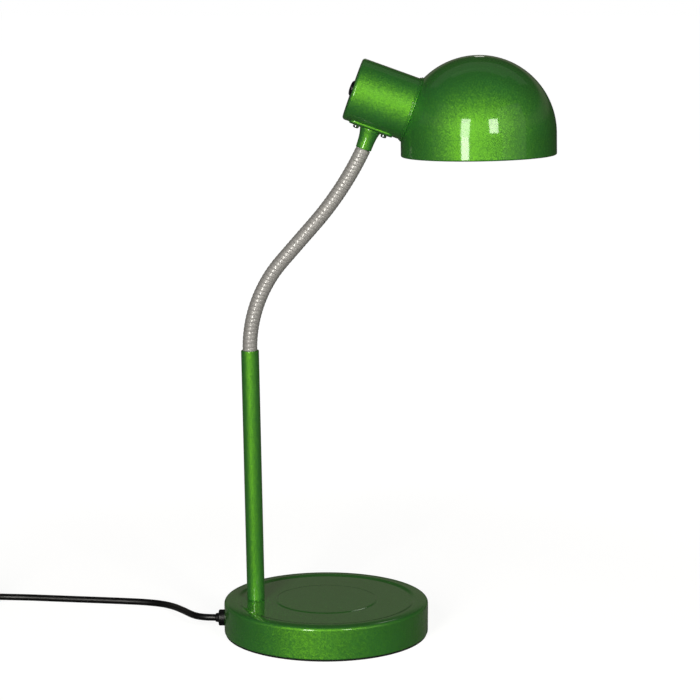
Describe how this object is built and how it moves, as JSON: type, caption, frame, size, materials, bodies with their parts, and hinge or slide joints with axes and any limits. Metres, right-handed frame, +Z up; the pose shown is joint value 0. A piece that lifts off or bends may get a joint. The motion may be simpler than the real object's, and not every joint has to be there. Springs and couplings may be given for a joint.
{
  "type": "bedside lamp",
  "caption": "Small bedside lamp with a round weighted base, upright tube, bendable ribbed neck and a domed metal shade with a push switch.",
  "frame": {"origin": "centre of the base's underside, on the surface that the lamp stands on", "axes": "+Z up, +X from the base's centre towards the shade, +Y to the back"},
  "size_m": [0.5246, 0.1588, 0.4218],
  "materials": {
    "green_paint": "metallic paint under clear gloss",
    "cast_iron": "as cast, dip painted",
    "sheet_steel": "zinc plated sheet",
    "black_felt": "thin black pad",
    "zinc_steel": "zinc plated",
    "black_rubber": "moulded, matt",
    "brass": "turned",
    "core_leads": "insulated cores",
    "neck_steel": "wound steel, satin nickel",
    "black_plastic": "moulded",
    "cap_metal": "rolled thread",
    "opal_glass": "opal",
    "spring_steel": "drawn wire",
    "cord_sheath": "extruded round sheath",
    "plug_plastic": "moulded on",
    "plug_metal": "nickel plated"
  },
  "bodies": {
    "stand": {"base_cover": "green_paint", "base_weight": "cast_iron", "bottom_plate": "sheet_steel", "base_pad": "black_felt", "plate_screws": "zinc_steel", "cord_bushing": "black_rubber", "cord_stop": "black_rubber", "stem_tube": "green_paint", "stem_insert": "brass", "stem_nipple": "zinc_steel", "stem_washer": "zinc_steel", "stem_nut": "zinc_steel", "stem_leads": "core_leads", "neck_ferrule": "brass", "neck_link_01": "neck_steel", "cord_run": "cord_sheath", "cord_coil": "cord_sheath", "cord_tail": "cord_sheath", "cord_tie": "black_rubber", "plug_body": "plug_plastic", "plug_pins": "plug_metal"},
    "neck_02": {"neck_link_02": "neck_steel"},
    "neck_03": {"neck_link_03": "neck_steel"},
    "neck_04": {"neck_link_04": "neck_steel"},
    "neck_05": {"neck_link_05": "neck_steel"},
    "neck_06": {"neck_link_06": "neck_steel"},
    "neck_07": {"neck_link_07": "neck_steel"},
    "neck_08": {"neck_link_08": "neck_steel"},
    "neck_09": {"neck_link_09": "neck_steel"},
    "neck_10": {"neck_link_10": "neck_steel"},
    "neck_11": {"neck_link_11": "neck_steel"},
    "neck_12": {"neck_link_12": "neck_steel"},
    "neck_13": {"neck_link_13": "neck_steel"},
    "head": {"neck_link_14": "neck_steel", "neck_cone": "green_paint", "saddle_plate": "green_paint", "saddle_screws": "zinc_steel", "saddle_nuts": "zinc_steel", "holder_cup": "green_paint", "shade_collar": "green_paint", "shade": "green_paint", "shade_ring": "black_plastic", "lampholder_body": "black_plastic", "holder_thread": "brass", "centre_contact": "brass", "side_contact": "brass", "terminal_screws": "brass", "bulb_cap": "cap_metal", "bulb_tip": "black_plastic", "bulb_glass": "opal_glass", "switch_body": "black_plastic", "switch_spring": "spring_steel", "head_leads": "core_leads"},
    "push_button": {"switch_button": "black_plastic"}
  },
  "joints": [
    {"name": "lower_bend", "type": "hinge", "parent": "stand", "child": "neck_02", "pos_m": [-0.05422, 0, 0.22242], "axis": [0, 1, 0], "range_deg": [-11, 11]},
    {"name": "lower_bend_2", "type": "hinge", "parent": "neck_02", "child": "neck_03", "pos_m": [-0.05215, 0, 0.2344], "axis": [0, 1, 0], "range_deg": [-11, 11]},
    {"name": "side_bend", "type": "hinge", "parent": "neck_03", "child": "neck_04", "pos_m": [-0.04859, 0, 0.24603], "axis": [0.9361, 0, -0.3518], "range_deg": [-10, 10]},
    {"name": "lower_bend_3", "type": "hinge", "parent": "neck_04", "child": "neck_05", "pos_m": [-0.04361, 0, 0.25712], "axis": [0, 1, 0], "range_deg": [-11, 11]},
    {"name": "side_bend_2", "type": "hinge", "parent": "neck_05", "child": "neck_06", "pos_m": [-0.03728, 0, 0.26751], "axis": [0.8195, 0, -0.5731], "range_deg": [-10, 10]},
    {"name": "lower_bend_4", "type": "hinge", "parent": "neck_06", "child": "neck_07", "pos_m": [-0.0297, 0, 0.27702], "axis": [0, 1, 0], "range_deg": [-11, 11]},
    {"name": "side_bend_3", "type": "hinge", "parent": "neck_07", "child": "neck_08", "pos_m": [-0.02173, 0, 0.28619], "axis": [0.7548, 0, -0.6559], "range_deg": [-10, 10]},
    {"name": "upper_bend", "type": "hinge", "parent": "neck_08", "child": "neck_09", "pos_m": [-0.01375, 0, 0.29537], "axis": [0, 1, 0], "range_deg": [-11, 11]},
    {"name": "side_bend_4", "type": "hinge", "parent": "neck_09", "child": "neck_10", "pos_m": [-0.00577, 0, 0.30455], "axis": [0.768, 0, -0.6405], "range_deg": [-10, 10]},
    {"name": "upper_bend_2", "type": "hinge", "parent": "neck_10", "child": "neck_11", "pos_m": [0.00182, 0, 0.31405], "axis": [0, 1, 0], "range_deg": [-11, 11]},
    {"name": "side_bend_5", "type": "hinge", "parent": "neck_11", "child": "neck_12", "pos_m": [0.00892, 0, 0.32392], "axis": [0.8269, 0, -0.5624], "range_deg": [-10, 10]},
    {"name": "upper_bend_3", "type": "hinge", "parent": "neck_12", "child": "neck_13", "pos_m": [0.0155, 0, 0.33415], "axis": [0, 1, 0], "range_deg": [-11, 11]},
    {"name": "upper_bend_4", "type": "hinge", "parent": "neck_13", "child": "head", "pos_m": [0.02153, 0, 0.3447], "axis": [0, 1, 0], "range_deg": [-11, 11]},
    {"name": "button_push", "type": "slide", "parent": "head", "child": "push_button", "axis": [0.9415, 0, -0.3371], "range_m": [0, 0.0015], "stiffness_N_per_m": 1500, "springref_m": -0.001}
  ],
  "couplings": [
    {"joint": "lower_bend_2", "follows": "lower_bend", "ratio": 1},
    {"joint": "lower_bend_3", "follows": "lower_bend", "ratio": 1},
    {"joint": "side_bend_2", "follows": "side_bend", "ratio": 1},
    {"joint": "lower_bend_4", "follows": "lower_bend", "ratio": 1},
    {"joint": "side_bend_3", "follows": "side_bend", "ratio": 1},
    {"joint": "side_bend_4", "follows": "side_bend", "ratio": 1},
    {"joint": "upper_bend_2", "follows": "upper_bend", "ratio": 1},
    {"joint": "side_bend_5", "follows": "side_bend", "ratio": 1},
    {"joint": "upper_bend_3", "follows": "upper_bend", "ratio": 1},
    {"joint": "upper_bend_4", "follows": "upper_bend", "ratio": 1}
  ]
}
